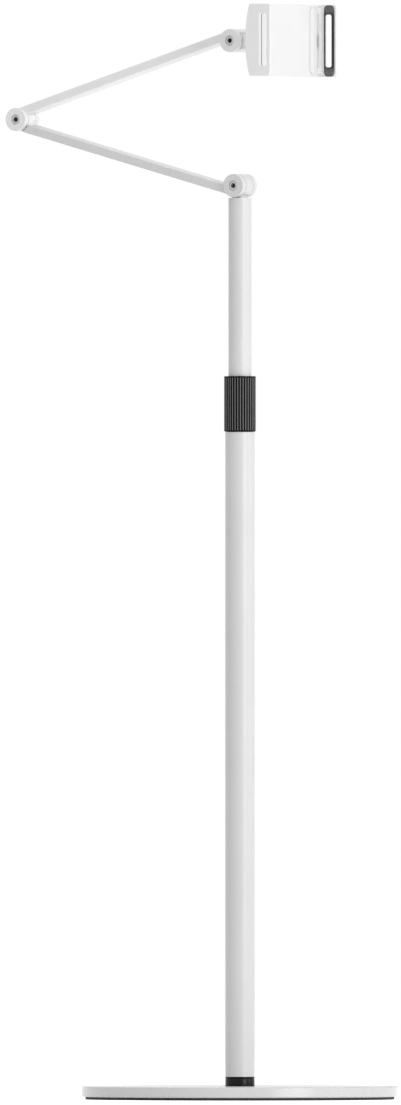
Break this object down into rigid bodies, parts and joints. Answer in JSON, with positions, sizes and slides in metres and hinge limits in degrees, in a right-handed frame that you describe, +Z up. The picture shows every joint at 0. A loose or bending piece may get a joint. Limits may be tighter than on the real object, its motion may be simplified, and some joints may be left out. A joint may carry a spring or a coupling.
{
  "type": "adjustable arm tablet floor stand",
  "caption": "Floor stand on a round weighted base with a telescopic column, a folding arm and a spring clamp that holds a tablet or phone.",
  "frame": {"origin": "middle of the foot pad's underside, on the column's axis, on the floor", "axes": "+Z up along the column; the arm folds in the XZ plane with every arm hinge along Y; the holder faces +X"},
  "size_m": [0.3996, 0.3, 1.0377],
  "materials": {
    "steel_white": "white powder coat on steel",
    "alloy_white": "white powder coat on die-cast aluminium",
    "plastic_white": "fine satin, white",
    "plastic_black": "satin, black",
    "nylon": "natural nylon",
    "rubber_dark": "matte rubber",
    "silicone_black": "smooth silicone",
    "steel": "zinc plated",
    "brass": "plain turned"
  },
  "bodies": {
    "base": {"foot_pad": "rubber_dark", "base_plate": "steel_white", "column_bolt": "steel", "bolt_washer": "steel", "foot_ring": "plastic_black", "foot_plug": "steel", "lower_tube": "steel_white", "lock_sleeve": "nylon", "collet": "nylon"},
    "lock_collar": {"lock_collar": "plastic_black"},
    "column_slider": {"guide_bush": "nylon"},
    "upper_column": {"upper_tube": "steel_white", "tube_plug": "nylon", "bush_washer": "steel", "bush_screw": "steel", "column_head": "alloy_white", "shoulder_bush": "brass"},
    "lower_arm": {"lower_arm": "alloy_white", "shoulder_screw": "steel", "shoulder_nut": "steel", "shoulder_washers": "nylon", "elbow_bush": "brass"},
    "upper_arm": {"upper_arm": "alloy_white", "elbow_screw": "steel", "elbow_nut": "steel", "elbow_washers": "nylon", "tilt_screw": "steel", "tilt_nut": "steel", "tilt_washers": "nylon"},
    "tilt_head": {"tilt_neck": "alloy_white", "tilt_bush": "brass", "swivel_grub": "steel"},
    "holder": {"back_cover": "plastic_white", "front_plate": "plastic_white", "swivel_stud": "steel", "swivel_washer": "nylon", "plate_screws": "steel", "spring_near": "steel", "spring_far": "steel"},
    "jaw_near": {"jaw_near": "plastic_white", "pad_near": "silicone_black"},
    "jaw_far": {"jaw_far": "plastic_white", "pad_far": "silicone_black"},
    "sync_pinion": {"sync_pinion": "nylon"}
  },
  "joints": [
    {"name": "collar_twist", "type": "hinge", "parent": "base", "child": "lock_collar", "pos_m": [0, 0, 0.66], "axis": [0, 0, 1], "range_deg": [0, 90]},
    {"name": "column_slide", "type": "slide", "parent": "base", "child": "column_slider", "axis": [0, 0, 1], "range_m": [-0.15, 0.25]},
    {"name": "column_turn", "type": "hinge", "parent": "column_slider", "child": "upper_column", "pos_m": [0, 0, 0.29], "axis": [0, 0, 1], "continuous": true},
    {"name": "shoulder_fold", "type": "hinge", "parent": "upper_column", "child": "lower_arm", "pos_m": [0, 0, 0.8661], "axis": [0, 1, 0], "range_deg": [-17, 130]},
    {"name": "elbow_fold", "type": "hinge", "parent": "lower_arm", "child": "upper_arm", "pos_m": [-0.23858, 0, 0.93003], "axis": [0, -1, 0], "range_deg": [-26, 147]},
    {"name": "holder_tilt", "type": "hinge", "parent": "upper_arm", "child": "tilt_head", "pos_m": [-0.00384, 0, 1.00359], "axis": [0, 1, 0], "range_deg": [-90, 90]},
    {"name": "holder_spin", "type": "hinge", "parent": "tilt_head", "child": "holder", "pos_m": [0.04236, 0, 1.00359], "axis": [1, 0, 0], "continuous": true},
    {"name": "jaw_near_slide", "type": "slide", "parent": "holder", "child": "jaw_near", "axis": [0, -1, 0], "range_m": [0, 0.045], "stiffness_N_per_m": 100, "springref_m": -0.04, "deforming": ["spring_near"]},
    {"name": "jaw_far_slide", "type": "slide", "parent": "holder", "child": "jaw_far", "axis": [0, 1, 0], "range_m": [0, 0.045], "stiffness_N_per_m": 100, "springref_m": -0.04, "deforming": ["spring_far"]},
    {"name": "pinion_turn", "type": "hinge", "parent": "holder", "child": "sync_pinion", "pos_m": [0.04746, 0, 1.00359], "axis": [1, 0, 0], "range_deg": [0, 330]}
  ],
  "couplings": [
    {"joint": "jaw_far_slide", "follows": "jaw_near_slide", "ratio": 1},
    {"joint": "pinion_turn", "follows": "jaw_near_slide", "rad_per_m": 125}
  ]
}
